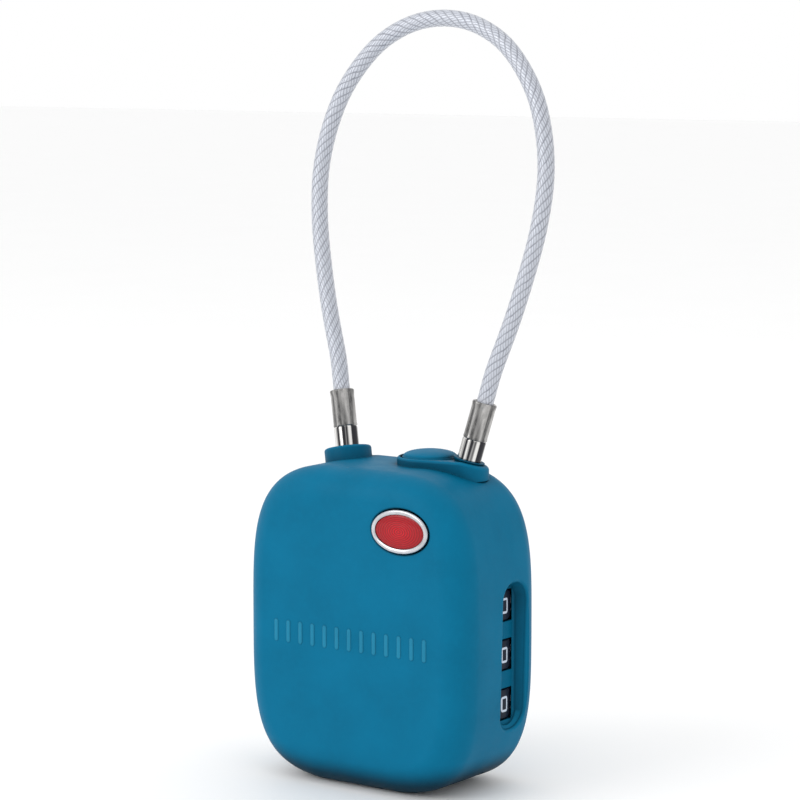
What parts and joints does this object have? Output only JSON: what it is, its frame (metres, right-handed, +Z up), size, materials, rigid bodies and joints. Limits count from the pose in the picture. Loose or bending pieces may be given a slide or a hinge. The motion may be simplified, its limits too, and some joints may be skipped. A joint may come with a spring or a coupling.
{
  "type": "cable shackle combination padlock",
  "caption": "Pillow-shaped luggage padlock with a flexible coated cable shackle, number dials in a side window, a top release button and a key override in the base.",
  "frame": {"origin": "on the flat base that the padlock stands on, straight below the middle of the cable loop", "axes": "+Z up towards the cable loop, -Y out of the front face with the badge, +X out of the side with the number dials"},
  "size_m": [0.044, 0.025, 0.1152],
  "materials": {
    "soft_touch_shell": "soft-touch satin teal",
    "soft_touch_button": "soft-touch satin teal",
    "badge_metal": "bright plated rim",
    "badge_enamel": "clear domed red enamel",
    "zinc": "raw die-cast zinc",
    "steel": "plain stamped steel",
    "spring_steel": "oiled spring steel",
    "black_plastic": "fine moulded black",
    "dial_plastic": "black with pale printed numerals",
    "nylon": "natural nylon",
    "ferrule_nickel": "nickel plate, polished pin and satin crimp",
    "brass": "turned brass",
    "cable_jacket": "clear vinyl over laid steel wire"
  },
  "bodies": {
    "root": {"front_housing": "soft_touch_shell", "back_cover": "soft_touch_shell", "badge_bezel": "badge_metal", "badge_lens": "badge_enamel", "lock_frame": "zinc", "dial_bracket": "steel", "detent_spring": "spring_steel", "spindle_spring": "spring_steel", "button_spring": "spring_steel", "latch_spring": "spring_steel", "ejector_spring": "spring_steel", "fixed_ferrule": "ferrule_nickel", "retaining_ring": "spring_steel", "cable_1": "cable_jacket", "key_cylinder": "zinc", "frame_screw_1": "steel", "frame_screw_2": "steel", "cylinder_screw_1": "steel", "cylinder_screw_2": "steel"},
    "cable_body_2": {"cable_2": "cable_jacket"},
    "cable_body_3": {"cable_3": "cable_jacket"},
    "cable_body_4": {"cable_4": "cable_jacket"},
    "cable_body_5": {"cable_5": "cable_jacket"},
    "cable_body_6": {"cable_6": "cable_jacket"},
    "cable_body_7": {"cable_7": "cable_jacket", "free_ferrule": "ferrule_nickel"},
    "button": {"release_button": "soft_touch_button"},
    "latch": {"latch_bar": "steel"},
    "fence": {"fence_bar": "steel"},
    "ejector": {"ejector_cup": "brass"},
    "bottom_dial": {"dial_bottom": "dial_plastic"},
    "middle_dial": {"dial_middle": "dial_plastic"},
    "top_dial": {"dial_top": "dial_plastic"},
    "reset_spindle": {"spindle": "steel", "reset_plunger": "black_plastic"},
    "bottom_hub": {"hub_bottom": "nylon"},
    "middle_hub": {"hub_middle": "nylon"},
    "top_hub": {"hub_top": "nylon"},
    "key_core": {"key_plug": "brass", "key_cam": "steel", "key_wafer_1": "brass", "key_wafer_2": "brass", "key_wafer_3": "brass", "key_wafer_4": "brass"},
    "override": {"override_slider": "steel"}
  },
  "joints": [
    {"name": "cable_flex_1", "type": "hinge", "parent": "root", "child": "cable_body_2", "pos_m": [-0.01647, 0.00646, 0.06847], "axis": [0, -0.9903, 0.1392], "range_deg": [0, 2.61]},
    {"name": "cable_flex_2", "type": "hinge", "parent": "cable_body_2", "child": "cable_body_3", "pos_m": [-0.02067, 0.0096, 0.09078], "axis": [0, -0.9903, 0.1392], "range_deg": [0, 6.63]},
    {"name": "cable_flex_3", "type": "hinge", "parent": "cable_body_3", "child": "cable_body_4", "pos_m": [-0.01082, 0.01238, 0.11055], "axis": [0, -0.9903, 0.1392], "range_deg": [0, 5.03]},
    {"name": "cable_flex_4", "type": "hinge", "parent": "cable_body_4", "child": "cable_body_5", "pos_m": [0.01082, 0.01238, 0.11055], "axis": [0, -0.9903, 0.1392], "range_deg": [-1.44, 0]},
    {"name": "cable_flex_5", "type": "hinge", "parent": "cable_body_5", "child": "cable_body_6", "pos_m": [0.02067, 0.0096, 0.09078], "axis": [0, -0.9903, 0.1392], "range_deg": [-6.12, 0]},
    {"name": "cable_flex_6", "type": "hinge", "parent": "cable_body_6", "child": "cable_body_7", "pos_m": [0.01647, 0.00646, 0.06847], "axis": [0, -0.9903, 0.1392], "range_deg": [-6.72, 0]},
    {"name": "button_press", "type": "slide", "parent": "root", "child": "button", "axis": [0, 0, -1], "range_m": [0, 0.0018], "stiffness_N_per_m": 400, "deforming": ["button_spring"]},
    {"name": "latch_slide", "type": "slide", "parent": "root", "child": "latch", "axis": [-1, 0, 0], "range_m": [0, 0.0022], "deforming": ["latch_spring"]},
    {"name": "fence_slide", "type": "slide", "parent": "root", "child": "fence", "axis": [0, 1, 0], "range_m": [0, 0.00025]},
    {"name": "ejector_slide", "type": "slide", "parent": "root", "child": "ejector", "axis": [0.225, 0.1356, 0.9649], "range_m": [0, 0.0029], "deforming": ["ejector_spring"]},
    {"name": "bottom_dial_turn", "type": "hinge", "parent": "root", "child": "bottom_dial", "pos_m": [0.01285, 0.00325, 0.013], "axis": [0, 0, 1], "continuous": true},
    {"name": "middle_dial_turn", "type": "hinge", "parent": "root", "child": "middle_dial", "pos_m": [0.01285, 0.00325, 0.0204], "axis": [0, 0, 1], "continuous": true},
    {"name": "top_dial_turn", "type": "hinge", "parent": "root", "child": "top_dial", "pos_m": [0.01285, 0.00325, 0.0278], "axis": [0, 0, 1], "continuous": true},
    {"name": "reset_push", "type": "slide", "parent": "root", "child": "reset_spindle", "axis": [0, 0, 1], "range_m": [0, 0.0012], "stiffness_N_per_m": 600, "deforming": ["spindle_spring"]},
    {"name": "bottom_hub_turn", "type": "hinge", "parent": "reset_spindle", "child": "bottom_hub", "pos_m": [0.01285, 0.00325, 0.013], "axis": [0, 0, 1], "continuous": true},
    {"name": "middle_hub_turn", "type": "hinge", "parent": "reset_spindle", "child": "middle_hub", "pos_m": [0.01285, 0.00325, 0.0204], "axis": [0, 0, 1], "continuous": true},
    {"name": "top_hub_turn", "type": "hinge", "parent": "reset_spindle", "child": "top_hub", "pos_m": [0.01285, 0.00325, 0.0278], "axis": [0, 0, 1], "continuous": true},
    {"name": "key_turn", "type": "hinge", "parent": "root", "child": "key_core", "pos_m": [-0.004, 0, 0.008], "axis": [0, 0, 1], "range_deg": [0, 90]},
    {"name": "override_lift", "type": "slide", "parent": "root", "child": "override", "axis": [0, 0, 1], "range_m": [0, 0.002]}
  ],
  "couplings": [
    {"joint": "cable_flex_1", "follows": "button_press", "rad_per_m": 25.3},
    {"joint": "cable_flex_2", "follows": "button_press", "rad_per_m": 64.171},
    {"joint": "cable_flex_3", "follows": "button_press", "rad_per_m": 48.662},
    {"joint": "cable_flex_4", "follows": "button_press", "rad_per_m": -13.862},
    {"joint": "cable_flex_5", "follows": "button_press", "rad_per_m": -59.227},
    {"joint": "cable_flex_6", "follows": "button_press", "rad_per_m": -65.044},
    {"joint": "latch_slide", "follows": "button_press", "ratio": 1.222},
    {"joint": "fence_slide", "follows": "button_press", "ratio": 0.1388},
    {"joint": "ejector_slide", "follows": "button_press", "ratio": 1.611},
    {"joint": "bottom_hub_turn", "follows": "bottom_dial_turn", "ratio": 1},
    {"joint": "middle_hub_turn", "follows": "middle_dial_turn", "ratio": 1},
    {"joint": "top_hub_turn", "follows": "top_dial_turn", "ratio": 1},
    {"joint": "key_turn", "follows": "override_lift", "rad_per_m": 785}
  ]
}
